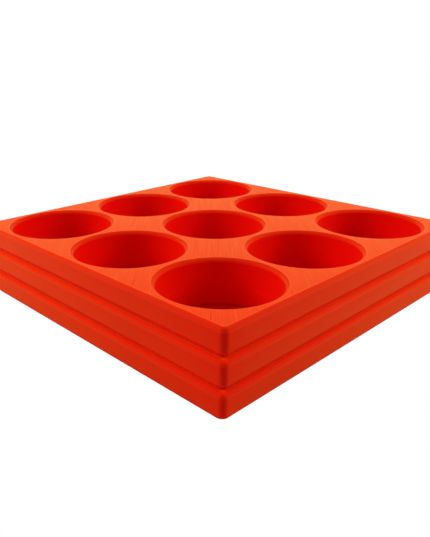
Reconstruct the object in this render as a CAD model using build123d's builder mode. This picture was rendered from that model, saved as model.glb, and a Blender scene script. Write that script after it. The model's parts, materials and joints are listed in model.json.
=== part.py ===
from build123d import *
import os

# Paint rack organizer: three stacked printed tiers with nine round pockets for paint jars.
# Millimetres, +Z up, origin at the centre of the rack's underside.
# The front of the rack faces -Y, and its left side faces -X.

# Driving dimensions
PITCH = 40.0            # from one pocket's centre to the next
POCKETS_PER_SIDE = 3
POCKET_D = 36.5         # takes a jar about 34.5 mm across
EDGE_MARGIN = 1.5       # tier material outside the outer cells of the grid
TIER_H = 9.0            # all three tiers are equally thick, 45 printed layers of 0.2
POCKET_FLOOR_Z = 11.4   # the pockets end a little above the base tier's top face

# Outer faces and edges
CORNER_R = 2.0          # upright corners of each tier
EDGE_R = 1.4            # upper outer edges of each tier
FOOT_INSET = 2.2        # how far each tier's foot draws in, which leaves the grooves between the tiers
FOOT_RISE = 2.6         # height over which the foot widens to the full side
RIM_R = 1.3             # mouths of the pockets in the top face

# Register between the base tier and the middle tier
PAD_LEDGE = 0.3         # how far each pad reaches past its pocket's wall
PAD_CHAMFER = 0.2       # leads a pad into its seat
PAD_CLEARANCE = 0.2     # radial gap between a pad and its seat
SEAT_GAP = 0.2          # a pad stands this far below the roof of its seat

# Register between the middle tier and the top tier
PEG_D = 8.0
PEG_H = 3.0
PEG_CHAMFER = 0.6       # leads a peg into its socket
SOCKET_CLEARANCE = 0.2  # radial gap between a peg and its socket
SOCKET_GAP = 0.2        # a socket is this much deeper than its peg is tall

SIDE = POCKETS_PER_SIDE * PITCH + 2 * EDGE_MARGIN
MIDDLE_Z = TIER_H
TOP_Z = 2 * TIER_H
RACK_H = 3 * TIER_H
PAD_D = POCKET_D + 2 * PAD_LEDGE
PAD_H = POCKET_FLOOR_Z - MIDDLE_Z
SEAT_D = PAD_D + 2 * PAD_CLEARANCE
SEAT_DEPTH = PAD_H + SEAT_GAP
SOCKET_D = PEG_D + 2 * SOCKET_CLEARANCE
SOCKET_DEPTH = PEG_H + SOCKET_GAP


def pocket_places():
    """The centres of the pockets."""
    return GridLocations(PITCH, PITCH, POCKETS_PER_SIDE, POCKETS_PER_SIDE)


def peg_places():
    """The centres of the four webs, each between four pockets."""
    return GridLocations(PITCH, PITCH, POCKETS_PER_SIDE - 1, POCKETS_PER_SIDE - 1)


def tier_plate(bottom_z):
    """Adds a square plate with a drawn-in foot and rounded upper edges to the part being built."""
    with BuildSketch(Plane.XY.offset(bottom_z)) as underside:
        RectangleRounded(SIDE - 2 * FOOT_INSET, SIDE - 2 * FOOT_INSET, CORNER_R)
    with BuildSketch(Plane.XY.offset(bottom_z + FOOT_RISE)) as outline:
        RectangleRounded(SIDE, SIDE, CORNER_R)
    loft(sections=[underside.sketch.face(), outline.sketch.face()])
    extrude(outline.sketch, amount=TIER_H - FOOT_RISE)
    upper_edges = edges().group_by(Axis.Z)[-1]
    fillet(upper_edges, EDGE_R)


def discs(places, diameter, bottom_z, height, mode=Mode.ADD):
    """Adds or cuts one upright disc at each of the places."""
    with BuildSketch(Plane.XY.offset(bottom_z)) as circles:
        with places:
            Circle(diameter / 2)
    extrude(circles.sketch, amount=height, mode=mode)


# The base tier closes the pockets. A pad under each pocket is its floor, and locates the middle tier.
with BuildPart() as base_tier:
    tier_plate(0)
    discs(pocket_places(), PAD_D, MIDDLE_Z, PAD_H)
    pad_rims = edges().group_by(Axis.Z)[-1]
    chamfer(pad_rims, PAD_CHAMFER)
base_tier.part.label = "base_tier"

# The middle tier is bored right through, with a shallow seat under each bore and four pegs on top.
with BuildPart() as middle_tier:
    tier_plate(MIDDLE_Z)
    discs(pocket_places(), POCKET_D, MIDDLE_Z, TIER_H, Mode.SUBTRACT)
    discs(pocket_places(), SEAT_D, MIDDLE_Z, SEAT_DEPTH, Mode.SUBTRACT)
    discs(peg_places(), PEG_D, TOP_Z, PEG_H)
    peg_tips = edges().group_by(Axis.Z)[-1]
    chamfer(peg_tips, PEG_CHAMFER)
middle_tier.part.label = "middle_tier"

# The top tier is bored right through, with rounded pocket mouths and four sockets underneath.
with BuildPart() as top_tier:
    tier_plate(TOP_Z)
    discs(pocket_places(), POCKET_D, TOP_Z, TIER_H, Mode.SUBTRACT)
    pocket_mouths = faces().sort_by(Axis.Z)[-1].inner_wires().edges()
    fillet(pocket_mouths, RIM_R)
    discs(peg_places(), SOCKET_D, TOP_Z, SOCKET_DEPTH, Mode.SUBTRACT)
top_tier.part.label = "top_tier"

os.makedirs("parts", exist_ok=True)
export_step(base_tier.part, "parts/base_tier.step")
export_step(middle_tier.part, "parts/middle_tier.step")
export_step(top_tier.part, "parts/top_tier.step")

print(f"side {SIDE:.2f}, height {RACK_H:.2f}, pocket depth {RACK_H - POCKET_FLOOR_Z:.2f}")
print(f"plain wall of each pocket {RACK_H - RIM_R - MIDDLE_Z - SEAT_DEPTH:.2f}")
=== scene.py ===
import json
import math
import random
from collections import namedtuple

import bpy
import numpy as np
from mathutils import Euler, Matrix, Vector
from mathutils.geometry import delaunay_2d_cdt

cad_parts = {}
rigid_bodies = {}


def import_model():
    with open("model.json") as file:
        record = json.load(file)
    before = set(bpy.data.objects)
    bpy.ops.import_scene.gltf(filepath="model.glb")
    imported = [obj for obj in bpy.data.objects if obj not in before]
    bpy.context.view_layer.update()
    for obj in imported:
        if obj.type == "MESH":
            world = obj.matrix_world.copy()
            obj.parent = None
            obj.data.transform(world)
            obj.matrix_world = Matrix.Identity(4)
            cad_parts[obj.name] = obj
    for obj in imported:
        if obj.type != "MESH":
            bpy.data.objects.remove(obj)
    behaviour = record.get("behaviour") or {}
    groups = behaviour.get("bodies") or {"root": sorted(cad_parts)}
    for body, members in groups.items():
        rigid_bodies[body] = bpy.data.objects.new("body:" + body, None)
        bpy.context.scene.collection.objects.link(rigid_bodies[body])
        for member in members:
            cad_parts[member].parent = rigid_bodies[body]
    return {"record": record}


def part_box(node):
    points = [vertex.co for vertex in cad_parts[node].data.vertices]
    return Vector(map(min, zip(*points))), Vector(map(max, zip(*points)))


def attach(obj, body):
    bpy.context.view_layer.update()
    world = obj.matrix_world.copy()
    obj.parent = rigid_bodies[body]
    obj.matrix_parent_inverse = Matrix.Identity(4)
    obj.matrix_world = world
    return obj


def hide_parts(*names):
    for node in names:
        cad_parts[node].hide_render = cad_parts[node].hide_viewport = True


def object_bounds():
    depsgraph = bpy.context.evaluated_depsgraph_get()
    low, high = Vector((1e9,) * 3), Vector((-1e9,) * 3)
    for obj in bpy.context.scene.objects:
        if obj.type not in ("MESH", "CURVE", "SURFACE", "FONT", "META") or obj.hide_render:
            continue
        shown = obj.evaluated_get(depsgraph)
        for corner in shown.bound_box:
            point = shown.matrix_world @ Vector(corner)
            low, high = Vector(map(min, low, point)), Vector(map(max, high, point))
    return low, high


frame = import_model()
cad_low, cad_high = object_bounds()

# Paint rack organizer: three stacked 3-D printed tiers in red plastic, with nine round pockets.
# Each tier is rebuilt layer by layer, as a printer lays it down: every layer is a rounded bead,
# rounded edges are small terraces, and the flat faces have perimeter lines round a diagonal fill.
# Lengths are in metres, in the frame's own axes.

MM = 0.001

# What the frame says about the rack
HALF_SIDE = (cad_high.x - cad_low.x) / 2
TIER_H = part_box("middle_tier")[0].z
PAD_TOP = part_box("base_tier")[1].z
PEG_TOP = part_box("middle_tier")[1].z
POCKETS = [m for m in frame["record"]["mounts"] if m["kind"] == "bore"]
POCKET_R = POCKETS[0]["dims"]["r_mm"] * MM
POCKET_CENTRES = [Vector(m["pos_m"][:2]) for m in POCKETS]
PITCH = max(centre.x for centre in POCKET_CENTRES)
PEG_CENTRES = [Vector((x, y)) * PITCH / 2 for x in (-1, 1) for y in (-1, 1)]

# Sizes of the tiers that their boxes don't tell
CORNER_R = 2.0 * MM
EDGE_R = 1.4 * MM
FOOT_INSET = 2.2 * MM
FOOT_RISE = 2.6 * MM
RIM_R = 1.3 * MM
BELLY = 0.06 * MM           # how far the outer walls stand back above and below their middles
PAD_R = POCKET_R + 0.3 * MM
PAD_CHAMFER = 0.2 * MM
SEAT_R = PAD_R + 0.2 * MM
SEAT_TOP = PAD_TOP + 0.2 * MM
PEG_R = 4.0 * MM
PEG_CHAMFER = 0.6 * MM
SOCKET_R = PEG_R + 0.2 * MM
SOCKET_TOP = PEG_TOP + 0.2 * MM

# How the printer lays plastic down
LAYER_H = 0.2 * MM
BEAD_W = 0.42 * MM
LIP_BEAD_W = 0.18 * MM      # lines round the undersides, whose lips are narrow
BEAD_DIP = 0.022 * MM       # from a bead's crest to the valley between two layers
LAYER_SHIFT = 0.012 * MM    # how unevenly the layers lie over each other
BEAD_ROUND = 0.10 * MM      # how far the edge of a bead falls back where it lies free
END_DIP = 0.06 * MM         # the same where a wall meets a flat face
RISER_H = 1.5 * LAYER_H     # the top of a rounded edge, which counts as its top layer's riser
SKIN_DIP = 0.006 * MM       # from crest to valley on a flat face
LINE_GAP = 0.12 * MM        # from the end of a diagonal line to the line round the face

# How finely the round stretches are divided
POCKET_STEPS = 64
PEG_STEPS = 40
CORNER_STEPS = 8
SIDE_STEPS = 16

# Material slots of a printed piece: walls; flat faces, more orange as painted light; insides, in painted
# shade; rounded edges, with a painted highlight; grooves and top risers, with painted glow and painted
# shade
WALL, SKIN, INSIDE_SHADE, EDGE, GROOVE_GLOW_SHADE = range(5)

# The plastic's weak gloss, and the orange bloom that its fine ridges show where they're seen aslant
GLOSS = 0.02
SHEEN = 0.45
# Weak bloom in the pockets and on the pads and pegs: painted shade
INSIDE_SHADE_SHEEN = 0.06
# Strong bloom on the rounded edges: a painted highlight
EDGE_HIGHLIGHT_SHEEN = 0.60
# Weak bloom in the grooves and on the top risers: painted shade
GROOVE_GLOW_SHADE_SHEEN = 0.12
SHEEN_ROUGHNESS = 0.45
SHEEN_TINT = (1.0, 0.62, 0.06, 1)

# The plastic's markings, in cycles per metre, and how deep its finest bumps are
LEVEL_STREAKS = (60, 60, 4000)
MOTTLE = (900, 900, 900)
CLOUDS = (70, 70, 70)
GRAIN = (9000, 9000, 9000)
BUMP = 0.01 * MM
ROUGHNESS_SPREAD = 0.05

LIGHT_DISTANCE = 0.55

Border = namedtuple("Border", "ids loop")   # loop(d) is the border moved d into the face

chance = random.Random(7)


def rounded_square(inset, radius):
    """The rack's outline moved inwards, anticlockwise from the right side's lower end."""
    reach = HALF_SIDE - inset - radius
    points = []
    for corner in range(4):
        turn = Matrix.Rotation(corner * math.pi / 2, 2)
        for step in range(SIDE_STEPS):
            along = -reach + 2 * reach * step / SIDE_STEPS
            points.append(turn @ Vector((reach + radius, along)))
        for step in range(CORNER_STEPS):
            angle = math.pi / 2 * step / CORNER_STEPS
            rounded = Vector((reach + radius * math.cos(angle), reach + radius * math.sin(angle)))
            points.append(turn @ rounded)
    return points


def circle(centre, radius, steps):
    """A circle, anticlockwise, as points."""
    angles = [2 * math.pi * step / steps for step in range(steps)]
    return [centre + radius * Vector((math.cos(a), math.sin(a))) for a in angles]


def rounding(distance, radius):
    """How far a rounded edge stands back from the wall, at a distance below the face it meets."""
    short = max(radius - distance, 0)
    return radius - math.sqrt(radius * radius - short * short)


def layers_between(low, high):
    """The mid heights of the layers between two heights."""
    count = round((high - low) / LAYER_H)
    return [low + (layer + 0.5) * LAYER_H for layer in range(count)]


def shoulder(mid, crest, edge, side):
    """The rings that round a bead off from its crest to its edge. Side is 1 above it and -1 below it."""
    fall = edge - crest
    if fall < 1.5 * BEAD_DIP:
        return []
    return [
        (mid + side * share * LAYER_H / 2, crest + fall * (1 - math.sqrt(1 - share * share)), False)
        for share in (0.5, 0.8)
    ]


def edges_between(inset, above):
    """The insets of the edges between a layer and the one above it: one valley, or both ends of a ledge."""
    valley = max(inset, above) + BEAD_DIP
    if abs(above - inset) <= BEAD_ROUND - BEAD_DIP:
        return [valley]
    if above > inset:
        return [inset + BEAD_ROUND, valley]
    return [valley, above + BEAD_ROUND]


def bead_profile(low, insets):
    """(height, inset, sharp) of each ring up a wall of beads, of which each has its own inset."""
    rings = [(low, insets[0] + END_DIP, True)]
    for layer, inset in enumerate(insets):
        mid = low + (layer + 0.5) * LAYER_H
        last = layer + 1 == len(insets)
        edges = [inset + END_DIP] if last else edges_between(inset, insets[layer + 1])
        rings += reversed(shoulder(mid, inset, rings[-1][1], -1))
        rings.append((mid, inset, False))
        rings += shoulder(mid, inset, edges[0], 1)
        rings += [(mid + LAYER_H / 2, edge, True) for edge in edges]
    return rings


def uneven(insets):
    """The insets with the small shifts that separate layers have."""
    return [inset + chance.uniform(0, LAYER_SHIFT) for inset in insets]


class Print:
    """A closed mesh put together from rings of points."""

    def __init__(self):
        self.points = []
        self.faces = []
        self.slots = []
        self.sharp = []

    def ring(self, loop, z, sharp=True):
        """Adds a closed ring, and gives its points' numbers."""
        first = len(self.points)
        self.points += [(p.x, p.y, z) for p in loop]
        ids = list(range(first, len(self.points)))
        if sharp:
            self.sharp += list(zip(ids, ids[1:] + ids[:1]))
        return ids

    def band(self, lower, upper, outward, slot):
        """Joins two rings. Outward, the upper ring is seen above the lower one from outside."""
        for a, b, c, d in zip(lower, lower[1:] + lower[:1], upper[1:] + upper[:1], upper):
            self.faces.append((a, b, c, d) if outward else (d, c, b, a))
            self.slots.append(slot)

    def wall(self, plan, rings, outward, slot_at):
        """Adds a wall ring by ring, and gives its lowest and highest rings.

        plan(inset, z) is its outline, and slot_at(z) the material of its beads. Ledges are skin.
        """
        made = [self.ring(plan(inset, z), z, sharp) for z, inset, sharp in rings]
        for step in range(1, len(rings)):
            below, above = rings[step - 1][0], rings[step][0]
            slot = SKIN if above == below else slot_at(below)
            self.band(made[step - 1], made[step], outward, slot)
        return made[0], made[-1]

    def face(self, outer, holes, z, up, slot=SKIN, line_slot=SKIN):
        """Adds a flat face: one line along each of its borders, and a diagonal fill.

        Slot is the material of the fill, and line_slot that of the lines.
        """
        dip = -SKIN_DIP if up else SKIN_DIP
        width = BEAD_W if up else LIP_BEAD_W
        inner = []
        for border in [outer] + holes:
            outward = up == (border is outer)
            crest = self.ring(border.loop(width / 2), z, sharp=False)
            valley = self.ring(border.loop(width), z + dip)
            self.band(border.ids, crest, outward, line_slot)
            self.band(crest, valley, outward, line_slot)
            inner.append(valley)
        self.fill(inner, z, dip, up, slot)

    def fill(self, rings, z, dip, up, slot):
        """Fills the region between the first ring and the others with diagonal lines."""
        ids = [i for ring in rings for i in ring]
        flat = [Vector(self.points[i][:2]) for i in ids]
        place = {i: n for n, i in enumerate(ids)}
        edges = [(place[a], place[b]) for ring in rings for a, b in zip(ring, ring[1:] + ring[:1])]
        starts = np.array([flat[a] for a, b in edges])
        ends = np.array([flat[b] for a, b in edges])
        for a, b, crest in raster(starts, ends):
            first = len(self.points)
            height = z if crest else z + dip
            self.points += [(a.x, a.y, height), (b.x, b.y, height)]
            if not crest:
                self.sharp.append((first, first + 1))
            edges.append((len(ids), len(ids) + 1))
            ids += [first, first + 1]
            flat += [a, b]
        _, _, triangles, sources, _, _ = delaunay_2d_cdt(flat, edges, [], 0, 1e-8)
        made = [ids[source[0]] for source in sources]
        kept = [[made[n] for n in triangle] for triangle in triangles]
        middles = np.array([np.mean([self.points[i][:2] for i in t], axis=0) for t in kept])
        for triangle, inside in zip(kept, within(middles, starts, ends)):
            if inside:
                self.faces.append(tuple(triangle if up else triangle[::-1]))
                self.slots.append(slot)


def within(points, starts, ends):
    """Which points lie inside the region whose border segments run from starts to ends."""
    crossings = np.zeros(len(points), int)
    for (x0, y0), (x1, y1) in zip(starts, ends):
        if y0 == y1:
            continue
        beside = (points[:, 1] >= min(y0, y1)) & (points[:, 1] < max(y0, y1))
        at = x0 + (points[:, 1] - y0) * (x1 - x0) / (y1 - y0)
        crossings += beside & (at > points[:, 0])
    return crossings % 2 == 1


def raster(starts, ends):
    """Diagonal lines across the region inside the border segments, crests and valleys in turn."""
    along = np.array((1.0, 1.0)) / math.sqrt(2)
    across = np.array((-1.0, 1.0)) / math.sqrt(2)
    side_a, side_b = starts @ across, ends @ across
    low, high = min(side_a.min(), side_b.min()), max(side_a.max(), side_b.max())
    for line in range(1, int((high - low) / (BEAD_W / 2))):
        level = low + line * BEAD_W / 2
        cut = (side_a > level) != (side_b > level)
        share = (level - side_a[cut]) / (side_b[cut] - side_a[cut])
        reached = np.sort((starts[cut] + share[:, None] * (ends[cut] - starts[cut])) @ along)
        for begin, end in zip(reached[::2], reached[1::2]):
            if end - begin > 4 * LINE_GAP:
                a = across * level + along * (begin + LINE_GAP)
                b = across * level + along * (end - LINE_GAP)
                yield Vector(a), Vector(b), line % 2 == 1


def outline_inset(height):
    """How far a tier's outer wall stands back, at a height above the tier's underside."""
    foot = max(1 - height / FOOT_RISE, 0) * FOOT_INSET
    half = (TIER_H - EDGE_R - FOOT_RISE) / 2
    belly = min(abs(height - FOOT_RISE - half) / half, 1) ** 2 * BELLY
    return foot + belly + rounding(TIER_H - height, EDGE_R)


def outer_wall(made, low):
    """Adds a tier's outer wall, and gives the borders of its lower and upper faces.

    Its foot and the riser of its top layer are deep red, with painted glow and painted shade, and its
    rounded edge is bright with a painted highlight.
    """
    insets = uneven([outline_inset(mid - low) for mid in layers_between(low, low + TIER_H)])
    foot_top = low + FOOT_RISE
    edge_low = low + TIER_H - EDGE_R
    riser_low = low + TIER_H - RISER_H

    def plan(inset, z):
        return rounded_square(inset, CORNER_R if z < foot_top else CORNER_R - inset)

    # Painted glow and painted shade on the foot and the top riser, and a painted highlight on the rounded
    # edge
    def slot_at(z):
        if z < foot_top or z > riser_low:
            return GROOVE_GLOW_SHADE
        return WALL if z < edge_low else EDGE

    bottom, top = made.wall(plan, bead_profile(low, insets), outward=True, slot_at=slot_at)
    lower = Border(bottom, lambda d: plan(insets[0] + END_DIP + d, low))
    upper = Border(top, lambda d: plan(insets[-1] + END_DIP + d, low + TIER_H))
    return lower, upper


def bore(made, centre, radius, low, high, rim_r=0.0, steps=POCKET_STEPS):
    """Adds the wall of an upright hole, and gives the borders it makes in the faces it pierces.

    Rim_r rounds its upper edge, whose terraces carry a painted highlight below the top layer's riser.
    """
    insets = uneven([rounding(high - mid, rim_r) for mid in layers_between(low, high)])
    # The rim's terraces take a painted highlight, and the rest of the wall the painted shade of the insides
    bottom, top = made.wall(
        lambda inset, z: circle(centre, radius + inset, steps),
        bead_profile(low, insets), outward=False,
        slot_at=lambda z: EDGE if high - rim_r < z < high - RISER_H else INSIDE_SHADE,
    )
    lower = Border(bottom, lambda d: circle(centre, radius + insets[0] + END_DIP + d, steps))
    upper = Border(top, lambda d: circle(centre, radius + insets[-1] + END_DIP + d, steps))
    return lower, upper


def post(made, centre, radius, low, high, chamfer, steps):
    """Adds a pad or peg that stands on a face, with its top face, and gives its border in that face."""
    insets = uneven([max(chamfer - (high - mid), 0) for mid in layers_between(low, high)])
    # Pads and pegs, top faces too, take painted shade
    bottom, top = made.wall(
        lambda inset, z: circle(centre, radius - inset, steps),
        bead_profile(low, insets), outward=True, slot_at=lambda z: INSIDE_SHADE,
    )
    top_edge = Border(top, lambda d: circle(centre, radius - insets[-1] - END_DIP - d, steps))
    made.face(top_edge, [], high, up=True, slot=INSIDE_SHADE)
    return Border(bottom, lambda d: circle(centre, radius - insets[0] - END_DIP + d, steps))


def blind_hole(made, centre, radius, low, high, steps):
    """Adds a closed socket in a lower face, and gives its border in that face."""
    lower, upper = bore(made, centre, radius, low, high, steps=steps)
    roof = Border(upper.ids, lambda d: upper.loop(-d))
    made.face(roof, [], high, up=False)
    return lower


def base_tier():
    """The bottom tier: a closed plate with a low pad under each pocket, which is the pocket's floor."""
    made = Print()
    lower, upper = outer_wall(made, 0.0)
    made.face(lower, [], 0.0, up=False)
    pads = [
        post(made, centre, PAD_R, TIER_H, PAD_TOP, PAD_CHAMFER, POCKET_STEPS)
        for centre in POCKET_CENTRES
    ]
    # The lines round this face, beside the foot above, take painted glow and painted shade
    made.face(upper, pads, TIER_H, up=True, line_slot=GROOVE_GLOW_SHADE)
    return made


def seated_bore(made, centre):
    """Adds a pocket's stretch through the middle tier, with the wider seat that a pad stands in."""
    seat, roof = bore(made, centre, SEAT_R, TIER_H, SEAT_TOP)
    neck, mouth = bore(made, centre, POCKET_R, SEAT_TOP, 2 * TIER_H)
    made.band(roof.ids, neck.ids, outward=False, slot=SKIN)
    return seat, mouth


def middle_tier():
    """The middle tier: bored through, with seats for the base tier's pads below and pegs on top."""
    made = Print()
    lower, upper = outer_wall(made, TIER_H)
    bores = [seated_bore(made, centre) for centre in POCKET_CENTRES]
    made.face(lower, [seat for seat, mouth in bores], TIER_H, up=False)
    pegs = [
        post(made, centre, PEG_R, 2 * TIER_H, PEG_TOP, PEG_CHAMFER, PEG_STEPS)
        for centre in PEG_CENTRES
    ]
    mouths = [mouth for seat, mouth in bores]
    # The lines round this face, beside the foot above, take painted glow and painted shade
    made.face(upper, mouths + pegs, 2 * TIER_H, up=True, line_slot=GROOVE_GLOW_SHADE)
    return made


def top_tier():
    """The top tier: bored through, with rounded pocket mouths and sockets for the pegs below."""
    made = Print()
    low, high = 2 * TIER_H, 3 * TIER_H
    lower, upper = outer_wall(made, low)
    bores = [bore(made, centre, POCKET_R, low, high, RIM_R) for centre in POCKET_CENTRES]
    sockets = [
        blind_hole(made, centre, SOCKET_R, low, SOCKET_TOP, PEG_STEPS) for centre in PEG_CENTRES
    ]
    made.face(lower, [bottom for bottom, top in bores] + sockets, low, up=False)
    # The lines round the top face take a painted highlight
    made.face(upper, [top for bottom, top in bores], high, up=True, line_slot=EDGE)
    return made


def printed_piece(name, made, materials):
    """Makes a Blender object of a print, smooth along its beads and sharp between them."""
    mesh = bpy.data.meshes.new(name)
    mesh.from_pydata(made.points, [], made.faces)
    for material in materials:
        mesh.materials.append(material)
    mesh.polygons.foreach_set("material_index", made.slots)
    mesh.polygons.foreach_set("use_smooth", [True] * len(made.faces))
    edges = np.zeros(2 * len(mesh.edges), int)
    mesh.edges.foreach_get("vertices", edges)
    edges = np.sort(edges.reshape(-1, 2), axis=1)
    sharp = np.sort(np.array(made.sharp), axis=1)
    count = len(made.points)
    is_sharp = np.isin(edges[:, 0] * count + edges[:, 1], sharp[:, 0] * count + sharp[:, 1])
    mesh.attributes.new("sharp_edge", "BOOLEAN", "EDGE").data.foreach_set("value", is_sharp)
    mesh.update()
    piece = bpy.data.objects.new(name, mesh)
    bpy.context.scene.collection.objects.link(piece)
    return piece


class Nodes:
    """Short ways to add and join a material's or the world's nodes."""

    def __init__(self, tree):
        self.tree = tree
        tree.nodes.clear()

    def add(self, kind, values=None, **settings):
        node = self.tree.nodes.new(kind)
        for key, value in settings.items():
            setattr(node, key, value)
        for key, value in (values or {}).items():
            if isinstance(value, bpy.types.NodeSocket):
                self.tree.links.new(value, node.inputs[key])
            else:
                node.inputs[key].default_value = value
        return node

    def stretched_noise(self, scale, detail=2.0, seed=0.0):
        """Noise with a scale of its own along each axis, in cycles per metre."""
        place = self.add("ShaderNodeTexCoord").outputs["Object"]
        moved = self.add("ShaderNodeMapping", {"Vector": place, "Scale": scale, "Location": (seed, 0, 0)})
        values = {"Vector": moved.outputs["Vector"], "Scale": 1.0, "Detail": detail}
        return self.add("ShaderNodeTexNoise", values).outputs["Fac"]

    def ranged(self, value, low, high):
        """Noise, which keeps near its middle, spread over a range."""
        values = {"Value": value, "From Min": 0.3, "From Max": 0.7, "To Min": low, "To Max": high}
        return self.add("ShaderNodeMapRange", values).outputs["Result"]

    def blended(self, share, first, second):
        """A colour between two."""
        mix = self.add("ShaderNodeMix", data_type="RGBA")
        for socket, value in ((mix.inputs[0], share), (mix.inputs[6], first), (mix.inputs[7], second)):
            if isinstance(value, bpy.types.NodeSocket):
                self.tree.links.new(value, socket)
            else:
                socket.default_value = value
        return mix.outputs[2]


def red_print(name, streak_scale, colours, roughness, sheen):
    """Satin red printed plastic, clouded between two colours, with streaks of the third."""
    material = bpy.data.materials.new(name)
    material.use_nodes = True
    nodes = Nodes(material.node_tree)
    streaks = nodes.stretched_noise(streak_scale, detail=3.0)
    clouds = nodes.stretched_noise(CLOUDS, detail=4.0, seed=3.0)
    grain = nodes.stretched_noise(GRAIN, detail=2.0, seed=5.0)
    worn = nodes.blended(nodes.ranged(clouds, 0.0, 1.0), colours[0], colours[1])
    colour = nodes.blended(nodes.ranged(streaks, 0.0, 0.35), worn, colours[2])
    rough = nodes.ranged(streaks, roughness - ROUGHNESS_SPREAD, roughness + ROUGHNESS_SPREAD)
    fine = nodes.add("ShaderNodeBump", {"Height": grain, "Distance": BUMP, "Strength": 0.5})
    values = {"Height": streaks, "Distance": BUMP, "Strength": 0.6, "Normal": fine.outputs["Normal"]}
    lines = nodes.add("ShaderNodeBump", values)
    shader = nodes.add("ShaderNodeBsdfPrincipled", {
        "Base Color": colour, "Roughness": rough, "Normal": lines.outputs["Normal"],
    })
    shader.inputs["Specular IOR Level"].default_value = GLOSS
    shader.inputs["Sheen Weight"].default_value = sheen
    shader.inputs["Sheen Roughness"].default_value = SHEEN_ROUGHNESS
    shader.inputs["Sheen Tint"].default_value = SHEEN_TINT
    nodes.add("ShaderNodeOutputMaterial", {"Surface": shader.outputs["BSDF"]})
    return material


def wall_material():
    """The beads' outer faces, with faint level streaks from layer to layer."""
    colours = ((0.80, 0.0022, 0.0004, 1), (0.76, 0.0018, 0.0003, 1), (0.84, 0.0034, 0.0006, 1))
    return red_print("red_print_walls", LEVEL_STREAKS, colours, 0.42, SHEEN)


def lit_skin_material():
    """The flat faces, more orange than the walls as painted light for how lit top faces look, with a faint
    mottle.
    """
    colours = ((0.82, 0.0050, 0.0006, 1), (0.79, 0.0042, 0.0005, 1), (0.85, 0.0065, 0.0008, 1))
    return red_print("red_print_faces_painted_light", MOTTLE, colours, 0.40, SHEEN)


def inside_shade_material():
    """The walls and floors of the pockets, and the pegs and their sockets' walls, all deeper red with weak
    bloom: painted shade.
    """
    colours = ((0.80, 0.0018, 0.0004, 1), (0.76, 0.0015, 0.0003, 1), (0.84, 0.0026, 0.0006, 1))
    return red_print("red_print_insides_painted_shade", LEVEL_STREAKS, colours, 0.42, INSIDE_SHADE_SHEEN)


def edge_highlight_material():
    """The rounded edges and the lines round the faces, a brighter orange red with the strongest bloom: a
    painted highlight.
    """
    colours = ((0.84, 0.0050, 0.0008, 1), (0.81, 0.0042, 0.0006, 1), (0.87, 0.0065, 0.0010, 1))
    return red_print("red_print_edges_painted_highlight", LEVEL_STREAKS, colours, 0.40, EDGE_HIGHLIGHT_SHEEN)


def groove_glow_shade_material():
    """The feet, the lines they stand beside and the top layers' risers, in a glowing deep red: painted glow
    for light bouncing in the grooves, and painted shade through their weak bloom.
    """
    colours = ((1.0, 0.0030, 0.0008, 1), (0.96, 0.0025, 0.0006, 1), (1.0, 0.0040, 0.0010, 1))
    return red_print("red_print_grooves_painted_glow_shade", LEVEL_STREAKS, colours, 0.42, GROOVE_GLOW_SHADE_SHEEN)


def make_camera():
    """The camera stands off the rack's front left corner and looks down at it."""
    data = bpy.data.cameras.new("camera")
    data.sensor_width = 36
    data.lens = 38.22
    data.shift_x = 0.0766
    data.clip_start = 0.01
    camera = bpy.data.objects.new("camera", data)
    heading, down, lean = math.radians(47.331), math.radians(20.802), math.radians(-0.749)
    turned = Euler((math.pi / 2 - down, 0, heading - math.pi / 2)).to_matrix().to_4x4()
    place = Matrix.Translation((-148.91 * MM, -139.40 * MM, cad_high.z + 59.52 * MM))
    camera.matrix_world = place @ turned @ Matrix.Rotation(lean, 4, "Z")
    bpy.context.scene.collection.objects.link(camera)
    bpy.context.scene.camera = camera


def soft_box(name, azimuth, elevation, size, power):
    """An area light that faces the rack and isn't seen itself. Azimuth runs from +X towards +Y."""
    data = bpy.data.lights.new(name, "AREA")
    data.shape = "RECTANGLE"
    data.size, data.size_y = size
    data.energy = power
    around, up = math.radians(azimuth), math.radians(elevation)
    towards = Vector((math.cos(around) * math.cos(up), math.sin(around) * math.cos(up), math.sin(up)))
    lamp = bpy.data.objects.new(name, data)
    lamp.location = LIGHT_DISTANCE * towards
    lamp.rotation_euler = (-towards).to_track_quat("-Z", "Y").to_euler()
    lamp.visible_camera = False
    bpy.context.scene.collection.objects.link(lamp)


def make_lights():
    """A strong soft box at each side, and weaker ones behind and above."""
    soft_box("left_box", 137, 34, (0.25, 0.24), 2.00)
    soft_box("right_box", 314, 34, (0.25, 0.24), 1.84)
    soft_box("back_box", 45, 22, (1.0, 0.30), 0.44)
    soft_box("top_box", 45, 62, (0.60, 0.30), 0.74)


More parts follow.
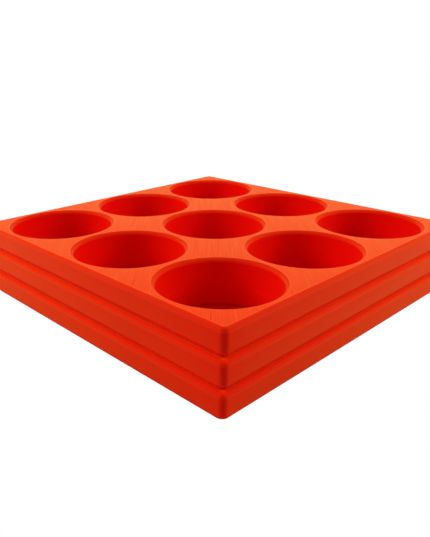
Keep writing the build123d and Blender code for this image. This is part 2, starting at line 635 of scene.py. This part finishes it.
def make_world():
    """Plain white to look at, with a dim even light for the rack."""
    world = bpy.data.worlds.new("studio")
    world.use_nodes = True
    bpy.context.scene.world = world
    nodes = Nodes(world.node_tree)
    seen = nodes.add("ShaderNodeBackground", {"Color": (1, 1, 1, 1), "Strength": 1.0})
    light = nodes.add("ShaderNodeBackground", {"Color": (1, 1, 1, 1), "Strength": 0.285})
    is_camera = nodes.add("ShaderNodeLightPath").outputs["Is Camera Ray"]
    both = nodes.add("ShaderNodeMixShader", {0: is_camera, 1: light.outputs[0], 2: seen.outputs[0]})
    nodes.add("ShaderNodeOutputWorld", {"Surface": both.outputs[0]})


def make_floor():
    """A plain floor, as white to look at as the background, that throws soft light back up."""
    size = 40 * HALF_SIDE
    mesh = bpy.data.meshes.new("floor")
    corners = [(-size, -size, 0), (size, -size, 0), (size, size, 0), (-size, size, 0)]
    mesh.from_pydata(corners, [], [(0, 1, 2, 3)])
    material = bpy.data.materials.new("pale_floor")
    material.use_nodes = True
    nodes = Nodes(material.node_tree)
    lit = nodes.add("ShaderNodeBsdfDiffuse", {"Color": (0.6, 0.6, 0.6, 1)})
    white = nodes.add("ShaderNodeEmission", {"Color": (1, 1, 1, 1), "Strength": 1.0})
    is_camera = nodes.add("ShaderNodeLightPath").outputs["Is Camera Ray"]
    both = nodes.add("ShaderNodeMixShader", {0: is_camera, 1: lit.outputs[0], 2: white.outputs[0]})
    nodes.add("ShaderNodeOutputMaterial", {"Surface": both.outputs[0]})
    mesh.materials.append(material)
    floor = bpy.data.objects.new("floor", mesh)
    bpy.context.scene.collection.objects.link(floor)


def make_rack():
    """Prints the three tiers, and hands each one to the body of the tier it stands for."""
    materials = [wall_material(), lit_skin_material(), inside_shade_material(), edge_highlight_material(), groove_glow_shade_material()]
    for node, body, build in (
        ("base_tier", "base", base_tier),
        ("middle_tier", "middle", middle_tier),
        ("top_tier", "top", top_tier),
    ):
        piece = printed_piece("printed_" + node, build(), materials)
        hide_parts(node)
        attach(piece, body)


make_camera()
make_rack()
make_world()
make_lights()
make_floor()
bpy.context.scene.view_settings.view_transform = "Standard"
